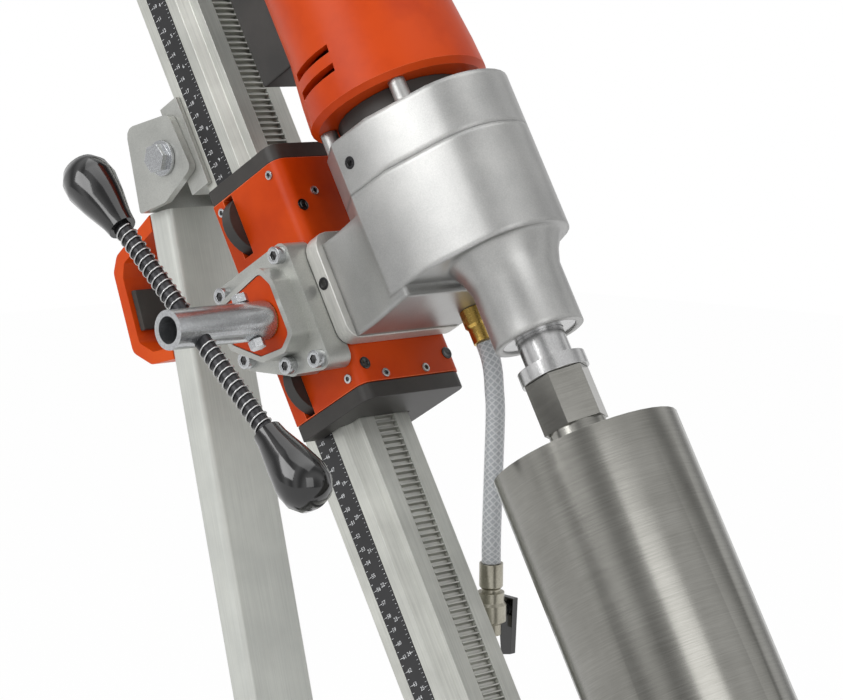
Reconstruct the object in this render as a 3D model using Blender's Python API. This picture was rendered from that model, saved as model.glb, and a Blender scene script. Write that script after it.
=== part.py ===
"""Core drill rig: a leaning rack column on a base plate, a braced back, a feed
carriage with its crank, and the drill motor, gearbox, hose and core bit.

Lengths are in millimetres and are scaled to metres when a mesh is made.
The column space has X forward, Y to the far side and Z up the column, with its
origin on the column pivot. The brace space is the same for the rear brace.
"""

import math

import bmesh
import bpy
from mathutils import Matrix, Vector
from mathutils.geometry import delaunay_2d_cdt

METRE = 0.001
GAP = 0.3

# Stand
PIVOT_HEIGHT = 70.0
COLUMN_LEAN = 30.0
BRACE_FOOT_BACK = 244.0
CLAMP_HEIGHT = 696.0
CLAMP_PIN_BACK = 48.0

# Base plate
BASE_FRONT = 85.0
BASE_REAR = -385.0
BASE_HALF_WIDTH = 132.0
BASE_BOTTOM = 10.0
BASE_THICK = 14.0
BASE_CORNER = 26.0
ANCHOR_SLOT_WIDTH = 18.0
LEVEL_SCREW_RADIUS = 6.0
LEVEL_INSET = 24.0
WHEEL_RADIUS = 50.0
WHEEL_WIDTH = 24.0
AXLE_RADIUS = 6.0
PIVOT_BOLT_RADIUS = 8.0
CHEEK_THICK = 9.0

# Column
COLUMN_HALF_WIDTH = 30.0
COLUMN_HALF_DEPTH = 26.0
COLUMN_BOTTOM = 25.0
COLUMN_TOP = 960.0
CAP_THICK = 9.0
SIDE_FLAT_END = 11.6
NECK_HALF_WIDTH = 23.6
STRIP_REAR = -16.4
STRIP_WIDTH = 18.0
STRIP_THICK = 0.7
RACK_WIDTH = 19.0
RACK_DEPTH = 10.0
RACK_MODULE = 1.5
RACK_BOTTOM = 45.0
RACK_TOP = 950.0

# Carriage
CARRIAGE_MID = 550.0
CARRIAGE_LENGTH = 195.0
CARRIAGE_REAR = -9.0
CARRIAGE_FRONT = 66.0
CARRIAGE_HALF_WIDTH = 49.0
CARRIAGE_WALL = 15.0
CARRIAGE_FRONT_WALL = 14.0
END_CAP_THICK = 11.5
SHOE_OFFSET = 62.0
SHOE_RADIUS = 22.5
SHOE_CENTRE_Y = 36.0
SHOE_MID_X = 7.6
SHOE_THICK = 9.2

# Feed drive
PINION_TEETH = 16
CRANK_HEIGHT = 528.0
HOUSING_DEPTH = 21.0
HOUSING_BOSS = 16.0
PANEL_DEPTH = 3.0
CRANK_TUBE_RADIUS = 13.5
CRANK_TUBE_END = -172.0
ROD_Y = -150.0
ROD_TILT = 19.0
ROD_RADIUS = 6.0
KNOB_CENTRES = 278.0
KNOB_RADIUS = 18.5

# Drill
PLATE_THICK = 12.0
PLATE_HALF_WIDTH = 56.0
SPINDLE_X = 185.0
MOTOR_X = 148.0
MOTOR_RADIUS = 60.0
MOTOR_BOTTOM = 630.0
MOTOR_TOP = 850.0
NOSE_RADIUS = 31.0
NOSE_BOTTOM = 437.0
SPINDLE_RADIUS = 16.5
BIT_RADIUS = 64.0
BIT_TOP = 357.0
BIT_LENGTH = 400.0
BIT_WALL = 3.0
CROWN_EXTRA = 0.6

# Brace
BRACE_WIDTH = 60.0
BRACE_DEPTH = 25.0
BRACE_OFFSET = -28.0
BRACE_CORNER = 5.5

# Hose
HOSE_RADIUS = 6.8


def clear_scene():
    for obj in list(bpy.data.objects):
        bpy.data.objects.remove(obj, do_unlink=True)


def material(name, colour, roughness, metallic=0.0):
    made = bpy.data.materials.get(name)
    if made is None:
        made = bpy.data.materials.new(name)
        made.use_nodes = True
        shader = made.node_tree.nodes["Principled BSDF"]
        shader.inputs["Base Color"].default_value = (*colour, 1.0)
        shader.inputs["Roughness"].default_value = roughness
        shader.inputs["Metallic"].default_value = metallic
    return made


def orange():
    return material("orange_paint", (0.60, 0.09, 0.01), 0.45)


def aluminium():
    return material("aluminium", (0.60, 0.60, 0.59), 0.35, 0.9)


def cast_silver():
    return material("cast_silver", (0.50, 0.50, 0.49), 0.45, 0.8)


def steel():
    return material("steel", (0.42, 0.42, 0.43), 0.3, 1.0)


def dark_plastic():
    return material("dark_plastic", (0.035, 0.035, 0.033), 0.5)


def black_gloss():
    return material("black_gloss", (0.01, 0.01, 0.01), 0.15)


def rubber():
    return material("rubber", (0.02, 0.02, 0.02), 0.8)


def brass():
    return material("brass", (0.55, 0.38, 0.12), 0.35, 1.0)


def clear_hose():
    return material("clear_hose", (0.55, 0.57, 0.58), 0.3)


# Outlines -----------------------------------------------------------------


def arc(centre, radius, start, end, steps):
    """Points along an arc from start to end, in degrees."""
    points = []
    for step in range(steps + 1):
        angle = math.radians(start + (end - start) * step / steps)
        points.append((centre[0] + radius * math.cos(angle), centre[1] + radius * math.sin(angle)))
    return points


def circle(centre, radius, steps=28):
    return arc(centre, radius, 0, 360 - 360 / steps, steps - 1)


def hexagon(centre, across_flats):
    return circle(centre, across_flats / math.sqrt(3), 6)


def rectangle(low, high):
    return [(low[0], low[1]), (high[0], low[1]), (high[0], high[1]), (low[0], high[1])]


def rounded(points, radius, steps=3):
    """The outline with each corner replaced by an arc; radius is one value or one for each corner."""
    radii = radius if isinstance(radius, (list, tuple)) else [radius] * len(points)
    result = []
    for index, corner in enumerate(points):
        here = Vector(corner)
        back = (Vector(points[index - 1]) - here).normalized()
        ahead = (Vector(points[(index + 1) % len(points)]) - here).normalized()
        if radii[index] <= 0:
            result.append(corner)
            continue
        half = back.angle(ahead) / 2
        reach = radii[index] / math.tan(half)
        middle = here + (back + ahead).normalized() * (radii[index] / math.sin(half))
        first = here + back * reach - middle
        last = here + ahead * reach - middle
        for step in range(steps + 1):
            point = middle + first.slerp(last, step / steps).normalized() * radii[index]
            result.append((point.x, point.y))
    return result


def round_slot(start, end, radius, steps=6):
    """The outline of a slot with round ends between two points."""
    along = Vector(end) - Vector(start)
    turn = math.degrees(math.atan2(along.y, along.x))
    return arc(end, radius, turn - 90, turn + 90, steps) + arc(start, radius, turn + 90, turn + 270, steps)


# Solids -------------------------------------------------------------------

AXES = {
    "x": lambda first, second, along: (along, first, second),
    "y": lambda first, second, along: (first, along, second),
    "z": lambda first, second, along: (first, second, along),
}


def crossings(point, loop):
    """How many sides of a loop lie level with a point and to its right."""
    count = 0
    for index, end in enumerate(loop):
        start = loop[index - 1]
        if (start[1] > point.y) != (end[1] > point.y):
            across = start[0] + (end[0] - start[0]) * (point.y - start[1]) / (end[1] - start[1])
            count += across > point.x
    return count


def prism(outline, start, end, axis, holes=()):
    """A straight extrusion of an outline, with holes through it, along one axis."""
    place = AXES[axis]
    loops = (outline, *holes)
    flat, edges = [], []
    for loop in loops:
        first = len(flat)
        flat += [Vector(point[:2]) for point in loop]
        edges += [(first + i, first + (i + 1) % len(loop)) for i in range(len(loop))]
    every_triangle = 0
    triangulated = delaunay_2d_cdt(flat, edges, [], every_triangle, 1e-5)
    points, faces = triangulated[0], triangulated[2]
    bm = bmesh.new()
    lower = [bm.verts.new(place(point.x, point.y, start)) for point in points]
    upper = [bm.verts.new(place(point.x, point.y, end)) for point in points]
    for face in faces:
        middle = sum((points[i] for i in face), Vector((0, 0))) / len(face)
        if sum(crossings(middle, loop) for loop in loops) % 2:
            bm.faces.new([lower[i] for i in face])
            bm.faces.new([upper[i] for i in face])
    bm.verts.index_update()
    for edge in [edge for edge in bm.edges if len(edge.link_faces) == 1 and edge.verts[0].index < len(lower)]:
        first, second = (corner.index for corner in edge.verts)
        bm.faces.new((lower[first], lower[second], upper[second], upper[first]))
    bmesh.ops.recalc_face_normals(bm, faces=bm.faces[:])
    return bm


def box(low, high):
    return prism(rectangle(low[:2], high[:2]), low[2], high[2], "z")


def turned(profile, origin=(0, 0, 0), direction=(0, 0, 1), steps=24):
    """A turned solid. The profile holds (radius, distance along); radius 0 at both ends makes it solid."""
    bm = bmesh.new()
    rings = []
    for radius, along in profile:
        if radius < 1e-6:
            rings.append([bm.verts.new((0, 0, along))])
            continue
        rings.append([bm.verts.new((x, y, along)) for x, y in circle((0, 0), radius, steps)])
    count = len(rings) if profile[0][0] > 1e-6 else len(rings) - 1
    for index in range(count):
        lower, upper = rings[index], rings[(index + 1) % len(rings)]
        for side in range(steps):
            after = (side + 1) % steps
            corners = [lower[side % len(lower)], lower[after % len(lower)]]
            corners += [upper[after % len(upper)], upper[side % len(upper)]]
            bm.faces.new(dict.fromkeys(corners))
    turn = Vector((0, 0, 1)).rotation_difference(Vector(direction)).to_matrix().to_4x4()
    bmesh.ops.transform(bm, matrix=Matrix.Translation(origin) @ turn, verts=bm.verts[:])
    bmesh.ops.recalc_face_normals(bm, faces=bm.faces[:])
    return bm


def rod(radius, start, end, steps=20, bore=0.0):
    """A round bar, or a tube when it has a bore, from one point to another."""
    along = Vector(end) - Vector(start)
    length = along.length
    if bore:
        profile = [(radius, 0), (radius, length), (bore, length), (bore, 0)]
    else:
        profile = [(0, 0), (radius, 0), (radius, length), (0, length)]
    return turned(profile, start, along, steps)


def combined(solid, tool, operation):
    """The Boolean of two solids, worked out at once."""
    objects = []
    for bm in (solid, tool):
        mesh = bpy.data.meshes.new("working")
        bm.to_mesh(mesh)
        bm.free()
        obj = bpy.data.objects.new("working", mesh)
        bpy.context.scene.collection.objects.link(obj)
        objects.append(obj)
    modifier = objects[0].modifiers.new("Working", "BOOLEAN")
    modifier.operation = operation
    modifier.object = objects[1]
    result = bmesh.new()
    result.from_object(objects[0], bpy.context.evaluated_depsgraph_get())
    for obj in objects:
        bpy.data.objects.remove(obj, do_unlink=True)
    return result


def united(solid, other):
    return combined(solid, other, "UNION")


def subtracted(solid, tool):
    return combined(solid, tool, "DIFFERENCE")


# Placing ------------------------------------------------------------------


def leaning(x, z, lean):
    """The space whose Z axis leans back by an angle, with its origin at x and z in the world."""
    return Matrix.Translation((x, 0, z)) @ Matrix.Rotation(math.radians(-lean), 4, "Y")


def pivot_x():
    """Where the column pivot stands, so that the whole rig is centred on the origin."""
    lean = math.radians(COLUMN_LEAN)
    rear = -COLUMN_HALF_DEPTH * math.cos(lean) - (COLUMN_TOP + CAP_THICK) * math.sin(lean)
    front = (SPINDLE_X + BIT_RADIUS + CROWN_EXTRA) * math.cos(lean) - (BIT_TOP - BIT_LENGTH) * math.sin(lean)
    return -(rear + front) / 2


PIVOT_X = pivot_x()
WORLD = Matrix.Translation((PIVOT_X, 0, 0))
COLUMN = leaning(PIVOT_X, PIVOT_HEIGHT, COLUMN_LEAN)
BRACE_FOOT = Vector((PIVOT_X - BRACE_FOOT_BACK, 0, PIVOT_HEIGHT))
CLAMP_PIN = COLUMN @ Vector((-CLAMP_PIN_BACK, 0, CLAMP_HEIGHT))
BRACE_LENGTH = (CLAMP_PIN - BRACE_FOOT).length
BRACE_LEAN = math.degrees(math.atan2(BRACE_FOOT.x - CLAMP_PIN.x, CLAMP_PIN.z - BRACE_FOOT.z))
BRACE = leaning(BRACE_FOOT.x, BRACE_FOOT.z, BRACE_LEAN)

frames = {}


def frame(name, space, at, parent=None):
    """An empty on a joint's axis, at a point of a space, which the moving pieces hang from."""
    empty = bpy.data.objects.new(name, None)
    empty.empty_display_size = 0.03
    bpy.context.scene.collection.objects.link(empty)
    place = space @ Matrix.Translation(at)
    place.translation *= METRE
    if parent:
        empty.parent = frames[parent][0]
        empty.matrix_basis = frames[parent][1].inverted() @ place
    else:
        empty.matrix_basis = place
    frames[name] = (empty, place)


def add(name, solid, space, holder, look, smooth=False):
    """The solid as an object hung from a frame's empty, with its own material."""
    place = space.copy()
    place.translation *= METRE
    place = frames[holder][1].inverted() @ place @ Matrix.Scale(METRE, 4)
    mesh = bpy.data.meshes.new(name)
    bmesh.ops.transform(solid, matrix=place, verts=solid.verts[:])
    bmesh.ops.recalc_face_normals(solid, faces=solid.faces[:])
    solid.to_mesh(mesh)
    solid.free()
    obj = bpy.data.objects.new(name, mesh)
    bpy.context.scene.collection.objects.link(obj)
    obj.parent = frames[holder][0]
    mesh.materials.append(look)
    if smooth:
        mesh.shade_smooth()
        mesh.set_sharp_from_angle(angle=math.radians(35))
    return obj


def boolean(obj, solid, space, holder, operation):
    """A hidden helper that is cut from an object or united with it."""
    helper = add(f"{obj.name}_{operation.lower()}_{len(obj.modifiers)}", solid, space, holder, steel())
    helper.hide_render = True
    helper.display_type = "WIRE"
    modifier = obj.modifiers.new(operation.title(), "BOOLEAN")
    modifier.operation = operation
    modifier.object = helper


def cut(obj, solid, space, holder):
    boolean(obj, solid, space, holder, "DIFFERENCE")


def unite(obj, solid, space, holder):
    boolean(obj, solid, space, holder, "UNION")


# Base plate ---------------------------------------------------------------

BASE_TOP = BASE_BOTTOM + BASE_THICK
SCREW_X = (BASE_FRONT - LEVEL_INSET, BASE_REAR + LEVEL_INSET)
SCREW_Y = (LEVEL_INSET - BASE_HALF_WIDTH, BASE_HALF_WIDTH - LEVEL_INSET)
CHEEK_INNER = COLUMN_HALF_WIDTH + GAP
CHEEK_OUTER = CHEEK_INNER + CHEEK_THICK
AXLE_X = BASE_REAR + 70.0
AXLE_Z = WHEEL_RADIUS + 1.5
WHEEL_INNER = BASE_HALF_WIDTH + 6.0


def clevis(name, x, reach):
    """Two upright cheeks on the base plate that hold a pivot bolt, joined by a pad."""
    low = BASE_TOP + GAP
    outline = [(x - reach, low), (x + reach, low), (x + reach, low + 14)]
    outline += arc((x, PIVOT_HEIGHT), 22, -10, 190, 10) + [(x - reach, low + 14)]
    bore = circle((x, PIVOT_HEIGHT), PIVOT_BOLT_RADIUS + GAP)
    body = add(name, prism(outline, -CHEEK_OUTER, -CHEEK_INNER, "y", [bore]), WORLD, "base", cast_silver())
    unite(body, prism(outline, CHEEK_INNER, CHEEK_OUTER, "y", [bore]), WORLD, "base")
    unite(body, box((x - reach, -CHEEK_INNER - 1, low), (x + reach, CHEEK_INNER + 1, low + 8)), WORLD, "base")


def pivot_bolt(x):
    """A hexagon bolt through a clevis, with its head and nut."""
    face = CHEEK_OUTER + GAP
    shank = rod(PIVOT_BOLT_RADIUS, (x, -face - 1, PIVOT_HEIGHT), (x, face + 12, PIVOT_HEIGHT), 24)
    bolt = united(shank, prism(hexagon((x, PIVOT_HEIGHT), 24), -face - 10, -face, "y"))
    return united(bolt, prism(hexagon((x, PIVOT_HEIGHT), 24), face, face + 10, "y"))


def base_plate():
    outline = rounded(
        [(BASE_REAR, -BASE_HALF_WIDTH), (BASE_FRONT, -BASE_HALF_WIDTH),
         (BASE_FRONT, BASE_HALF_WIDTH), (BASE_REAR, BASE_HALF_WIDTH)], BASE_CORNER, 5)
    holes = [circle((x, y), LEVEL_SCREW_RADIUS + GAP, 20) for x in SCREW_X for y in SCREW_Y]
    anchor = round_slot((-190, 0), (-55, 0), ANCHOR_SLOT_WIDTH / 2)
    plate = add("base_plate", prism(outline, BASE_BOTTOM, BASE_TOP, "z", holes + [anchor]), WORLD, "base",
                aluminium())
    for side in (-1, 1):
        low, high = sorted((side * (BASE_HALF_WIDTH - 9), side * (BASE_HALF_WIDTH - 1)))
        rib = box((BASE_REAR + 60, low, BASE_TOP - 1), (BASE_FRONT - 50, high, BASE_TOP + 12))
        unite(plate, rib, WORLD, "base")
        outline = [(AXLE_X - 22, BASE_TOP - 2), (AXLE_X + 22, BASE_TOP - 2)]
        outline += arc((AXLE_X, AXLE_Z), 13, 0, 180, 8)
        bore = circle((AXLE_X, AXLE_Z), AXLE_RADIUS + GAP, 20)
        low, high = sorted((side * (BASE_HALF_WIDTH - 26), side * (BASE_HALF_WIDTH - 12)))
        unite(plate, prism(outline, low, high, "y", [bore]), WORLD, "base")


def levelling_screws():
    number = 0
    for x in SCREW_X:
        for y in SCREW_Y:
            number += 1
            name = f"level_screw_{number}"
            axis = f"{name}_turn"
            frame(axis, WORLD, (x, y, 0), "base")
            r = LEVEL_SCREW_RADIUS
            profile = [(0, 0), (9, 0), (9, 4), (r, 7), (r, 48), (0, 48)]
            screw = add(name, turned(profile, (x, y, 0), steps=20), WORLD, axis, steel(), True)
            unite(screw, prism(hexagon((x, y), 15), 46, 56, "z"), WORLD, axis)


def wheel(side):
    """A dished hub with a tyre round it, turned about the axle."""
    start = (AXLE_X, side * WHEEL_INNER, AXLE_Z)
    rim = WHEEL_RADIUS - 14
    bore = AXLE_RADIUS + GAP
    hub = [(bore, 0), (13, 0), (14, 5), (rim, 4), (rim, 20), (14, 19), (13, WHEEL_WIDTH), (bore, WHEEL_WIDTH)]
    tread = [(rim - 1, 1), (WHEEL_RADIUS - 3, 1), (WHEEL_RADIUS, 4), (WHEEL_RADIUS, 20),
             (WHEEL_RADIUS - 3, 23), (rim - 1, 23)]
    return united(turned(hub, start, (0, side, 0)), turned(tread, start, (0, side, 0), 32))


def axle_and_wheels():
    reach = -CRANK_TUBE_END
    add("axle", rod(AXLE_RADIUS, (AXLE_X, -reach, AXLE_Z), (AXLE_X, reach, AXLE_Z)), WORLD, "base", steel())
    for side, word in ((-1, "near"), (1, "far")):
        frame(f"wheel_{word}_turn", WORLD, (AXLE_X, side * WHEEL_INNER, AXLE_Z), "base")
        add(f"wheel_{word}", wheel(side), WORLD, f"wheel_{word}_turn", rubber(), True)


def base():
    frame("base", WORLD, (0, 0, 0))
    base_plate()
    clevis("column_clevis", 0, 34)
    clevis("brace_clevis", -BRACE_FOOT_BACK, 28)
    add("column_pivot_bolt", pivot_bolt(0), WORLD, "base", steel())
    add("brace_pivot_bolt", pivot_bolt(-BRACE_FOOT_BACK), WORLD, "base", steel())
    levelling_screws()
    axle_and_wheels()


# Column -------------------------------------------------------------------


def column_section():
    half, depth = COLUMN_HALF_WIDTH, COLUMN_HALF_DEPTH
    strip_end = STRIP_REAR + STRIP_WIDTH
    floor = half - STRIP_THICK - GAP
    near = [(-depth, -half), (STRIP_REAR - GAP, -half), (STRIP_REAR - GAP, -floor),
            (strip_end + GAP, -floor), (strip_end + GAP, -half), (SIDE_FLAT_END, -half),
            (SIDE_FLAT_END + half - NECK_HALF_WIDTH, -NECK_HALF_WIDTH), (depth, -NECK_HALF_WIDTH)]
    groove = RACK_WIDTH / 2 + GAP
    rack = [(depth, -groove), (depth - RACK_DEPTH - GAP, -groove),
            (depth - RACK_DEPTH - GAP, groove), (depth, groove)]
    far = [(x, -y) for x, y in reversed(near) if y == -half or y == -NECK_HALF_WIDTH]
    return near + rack + far


def rack_outline():
    """The rack's side, with teeth toward +X and one gap centred at the crank's height."""
    pitch = math.pi * RACK_MODULE
    tip, root = COLUMN_HALF_DEPTH, COLUMN_HALF_DEPTH - 2.3 * RACK_MODULE
    first = math.ceil((RACK_BOTTOM + 3 - CRANK_HEIGHT) / pitch)
    last = math.floor((RACK_TOP - 3 - CRANK_HEIGHT) / pitch)
    points = [(COLUMN_HALF_DEPTH - RACK_DEPTH, RACK_TOP), (COLUMN_HALF_DEPTH - RACK_DEPTH, RACK_BOTTOM),
              (root, RACK_BOTTOM)]
    for index in range(first, last + 1):
        middle = CRANK_HEIGHT + index * pitch
        points += [(root, middle - 1.45), (tip, middle - 0.45), (tip, middle + 0.45), (root, middle + 1.45)]
    return points + [(root, RACK_TOP)]


def column():
    frame("column_tilt", COLUMN, (0, 0, 0), "base")
    half = COLUMN_HALF_WIDTH
    cavities = [rounded(rectangle((-21, -11), (11, 11)), 3)]
    for side in (-1, 1):
        low, high = sorted((side * 14.5, side * 25.5))
        cavities.append(rounded(rectangle((-21, low), (9, high)), 2))
    add("column_extrusion", prism(column_section(), COLUMN_BOTTOM, COLUMN_TOP, "z", cavities), COLUMN,
        "column_tilt", aluminium())
    add("rack", prism(rack_outline(), -RACK_WIDTH / 2, RACK_WIDTH / 2, "y"), COLUMN, "column_tilt", steel())
    strip = box((STRIP_REAR, -half, 60), (STRIP_REAR + STRIP_WIDTH, STRIP_THICK - half, 940))
    add("scale_strip", strip, COLUMN, "column_tilt", dark_plastic())
    foot_top = COLUMN_BOTTOM - GAP
    foot = arc((0, 0), 24, 180, 360, 12) + [(COLUMN_HALF_DEPTH, foot_top), (-COLUMN_HALF_DEPTH, foot_top)]
    bore = circle((0, 0), PIVOT_BOLT_RADIUS + GAP)
    add("column_foot", prism(foot, GAP - half, half - GAP, "y", [bore]), COLUMN, "column_tilt", cast_silver())
    cap = rounded(rectangle((-COLUMN_HALF_DEPTH, -half), (COLUMN_HALF_DEPTH, half)), 5)
    add("column_top_cap", prism(cap, COLUMN_TOP + GAP, COLUMN_TOP + CAP_THICK, "z"), COLUMN, "column_tilt",
        dark_plastic())


# Brace and clamp ----------------------------------------------------------

LUG_HALF_WIDTH = 34.0
BRACKET_INNER = LUG_HALF_WIDTH + GAP
BRACKET_OUTER = BRACKET_INNER + 6.0
LUG_RADIUS = 12.0
BRACE_TOP = BRACE_LENGTH - 34.6


def clamp():
    frame("clamp_slide", COLUMN, (-CLAMP_PIN_BACK, 0, CLAMP_HEIGHT), "column_tilt")
    rear = -COLUMN_HALF_DEPTH - GAP
    grip = COLUMN_HALF_WIDTH + GAP
    front = -COLUMN_HALF_DEPTH + 6
    section = [(-40, -LUG_HALF_WIDTH), (front, -LUG_HALF_WIDTH), (front, -grip), (rear, -grip),
               (rear, grip), (front, grip), (front, LUG_HALF_WIDTH), (-40, LUG_HALF_WIDTH)]
    body = add("clamp_block", prism(section, CLAMP_HEIGHT - 35, CLAMP_HEIGHT + 35, "z"), COLUMN,
               "clamp_slide", cast_silver())
    lug = arc((-CLAMP_PIN_BACK, CLAMP_HEIGHT), LUG_RADIUS, 90, 270, 10)
    lug += [(-36, CLAMP_HEIGHT - LUG_RADIUS), (-36, CLAMP_HEIGHT + LUG_RADIUS)]
    unite(body, prism(lug, -LUG_HALF_WIDTH + 0.5, LUG_HALF_WIDTH - 0.5, "y"), COLUMN, "clamp_slide")


def bracket():
    """The casting on top of the brace: two cheeks joined behind by a web."""
    top = BRACE_LENGTH
    outline = rounded([(-36, top - 34.3), (-6, top - 31.5), (28, top - 13), (13, top + 30), (-36, top + 30)],
                      [2, 5, 6, 8, 8], 3)
    bore = circle((0, top), 6 + GAP, 20)
    body = add("brace_bracket", prism(outline, -BRACKET_OUTER, -BRACKET_INNER, "y", [bore]), BRACE,
               "brace_swing", cast_silver())
    unite(body, prism(outline, BRACKET_INNER, BRACKET_OUTER, "y", [bore]), BRACE, "brace_swing")
    web = box((-35.5, -BRACKET_INNER - 2, top - 34), (-29.5, BRACKET_INNER + 2, top + 28))
    unite(body, web, BRACE, "brace_swing")
    for side, word in ((-1, "near"), (1, "far")):
        face = side * (BRACKET_OUTER + GAP)
        shank = rod(6, (0, side * BRACKET_INNER, top), (0, face + side, top))
        washer = rod(13, (0, face, top), (0, face + side * 2.5, top), 24)
        low, high = sorted((face + side * 2, face + side * 9))
        bolt = united(united(shank, washer), prism(hexagon((0, top), 19), low, high, "y"))
        add(f"clamp_bolt_{word}", bolt, BRACE, "brace_swing", steel())


def brace_handle():
    """A strap handle on the brace's rear, with a softer grip behind its outer bar."""
    rear = BRACE_OFFSET - BRACE_DEPTH / 2 - GAP
    low, high = BRACE_TOP - 108, BRACE_TOP + 26
    outer = [(rear, low), (rear, high - 26), (rear - 45, high - 48), (rear - 52, high - 60),
             (rear - 45, low + 12), (rear - 26, low)]
    inner = [(rear + 5, low + 9), (rear + 5, high - 36), (rear - 38, high - 55), (rear - 42, high - 66),
             (rear - 36, low + 18), (rear - 22, low + 9)]
    strap = prism(rounded(outer, [0, 0, 8, 8, 8, 8]), -28, 28, "y")
    window = prism(rounded(inner, [0, 0, 5, 5, 5, 5]), -40, 40, "y")
    add("handle_strap", subtracted(strap, window), BRACE, "brace_swing", orange())
    top, bottom = Vector((rear - 40.2, high - 76)), Vector((rear - 36.6, low + 27))
    thick = Vector((5, 0))
    grip = [tuple(bottom), tuple(bottom + thick), tuple(top + thick), tuple(top)]
    add("handle_grip", prism(rounded(grip, 1.5), -24, 24, "y"), BRACE, "brace_swing", rubber())


def brace():
    frame("brace_swing", BRACE, (0, 0, 0), "base")
    low = BRACE_OFFSET - BRACE_DEPTH / 2
    high = BRACE_OFFSET + BRACE_DEPTH / 2
    foot_top = 40.0
    outer = rounded(rectangle((low, -BRACE_WIDTH / 2), (high, BRACE_WIDTH / 2)), BRACE_CORNER, 4)
    wall = 3.0
    hollow = rectangle((low + wall, wall - BRACE_WIDTH / 2), (high - wall, BRACE_WIDTH / 2 - wall))
    inner = rounded(hollow, 2.5, 3)
    add("brace_tube", prism(outer, foot_top, BRACE_TOP, "z", [inner]), BRACE, "brace_swing", aluminium())
    width = COLUMN_HALF_WIDTH - GAP
    foot = [(low, foot_top - GAP), (low, foot_top - 12)] + arc((0, 0), 16, 200, 360, 8)
    foot += [(high + 6, foot_top - 12), (high, foot_top - GAP)]
    bore = circle((0, 0), PIVOT_BOLT_RADIUS + GAP)
    add("brace_foot", prism(foot, -width, width, "y", [bore]), BRACE, "brace_swing", cast_silver())
    bracket()
    brace_handle()


# Carriage -----------------------------------------------------------------

SHELL_INNER = CARRIAGE_HALF_WIDTH - CARRIAGE_WALL
SHELL_FRONT_INNER = CARRIAGE_FRONT - CARRIAGE_FRONT_WALL
SHELL_HALF = CARRIAGE_LENGTH / 2 - END_CAP_THICK - GAP
PINION_X = COLUMN_HALF_DEPTH - RACK_MODULE + RACK_MODULE * PINION_TEETH / 2 + 0.5
SHAFT_RADIUS = 9.0
BUSH_RADIUS = 12.5
PLATE_FRONT = CARRIAGE_FRONT + GAP + PLATE_THICK


def carriage_outer(inset):
    wide, front = CARRIAGE_HALF_WIDTH - inset, CARRIAGE_FRONT - inset
    corners = [(CARRIAGE_REAR, -wide), (front, -wide), (front, wide), (CARRIAGE_REAR, wide)]
    return rounded(corners, [0, 9, 9, 0], 4)


def column_opening(gap, rear):
    """The open inner side of a section that slides round the column's front, from far side to near side."""
    half, neck, depth = COLUMN_HALF_WIDTH + gap, NECK_HALF_WIDTH + gap, COLUMN_HALF_DEPTH + gap
    slope = COLUMN_HALF_WIDTH - NECK_HALF_WIDTH
    return [(rear, half), (SIDE_FLAT_END, half), (SIDE_FLAT_END + slope, neck), (depth, neck),
            (depth, -neck), (SIDE_FLAT_END + slope, -neck), (SIDE_FLAT_END, -half), (rear, -half)]


def carriage_shell():
    low, high = CARRIAGE_MID - SHELL_HALF, CARRIAGE_MID + SHELL_HALF
    section = carriage_outer(0) + [(CARRIAGE_REAR, SHELL_INNER), (SHELL_FRONT_INNER, SHELL_INNER),
                                   (SHELL_FRONT_INNER, -SHELL_INNER), (CARRIAGE_REAR, -SHELL_INNER)]
    shell = add("carriage_shell", prism(section, low, high, "z"), COLUMN, "feed_slide", orange())
    reach = SHOE_RADIUS + GAP
    for end in (-1, 1):
        height = CARRIAGE_MID + end * SHOE_OFFSET
        slot = box((SHOE_MID_X - SHOE_THICK / 2 - GAP, -60, height - reach),
                   (SHOE_MID_X + SHOE_THICK / 2 + GAP, 60, height + reach))
        cut(shell, slot, COLUMN, "feed_slide")
    bore = rod(BUSH_RADIUS + GAP, (PINION_X, -60, CRANK_HEIGHT), (PINION_X, -20, CRANK_HEIGHT), 24)
    cut(shell, bore, COLUMN, "feed_slide")
    blind = rod(SHAFT_RADIUS + GAP, (PINION_X, 20, CRANK_HEIGHT), (PINION_X, 45, CRANK_HEIGHT), 20)
    cut(shell, blind, COLUMN, "feed_slide")


def end_caps():
    """The wiper caps at the carriage's ends, whose opening follows the column."""
    for end, word in ((-1, "lower"), (1, "upper")):
        near = CARRIAGE_MID + end * (SHELL_HALF + GAP)
        far = near + end * END_CAP_THICK
        section = carriage_outer(0.6) + column_opening(1.2, CARRIAGE_REAR)
        add(f"end_cap_{word}", prism(section, near, far, "z"), COLUMN, "feed_slide", dark_plastic())


def guides():
    """A liner that slides on the column at each end, with a round-backed shoe in each slot."""
    inner = SHELL_INNER - GAP
    rear, front = CARRIAGE_REAR + 1, SHELL_FRONT_INNER - GAP
    section = [(rear, -inner), (front, -inner), (front, inner), (rear, inner)] + column_opening(GAP, rear)
    for end, word in ((-1, "lower"), (1, "upper")):
        middle = CARRIAGE_MID + end * SHOE_OFFSET
        liner = add(f"guide_{word}", prism(section, middle - 21, middle + 21, "z"), COLUMN, "feed_slide",
                    dark_plastic(), True)
        for side in (-1, 1):
            back = arc((SHOE_CENTRE_Y, middle), SHOE_RADIUS, -90, 90, 16)
            foot = [(inner - 3, middle + SHOE_RADIUS), (inner - 3, middle - SHOE_RADIUS)]
            outline = [(side * y, z) for y, z in back + foot]
            shoe = prism(outline, SHOE_MID_X - SHOE_THICK / 2, SHOE_MID_X + SHOE_THICK / 2, "x")
            unite(liner, shoe, COLUMN, "feed_slide")


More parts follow.
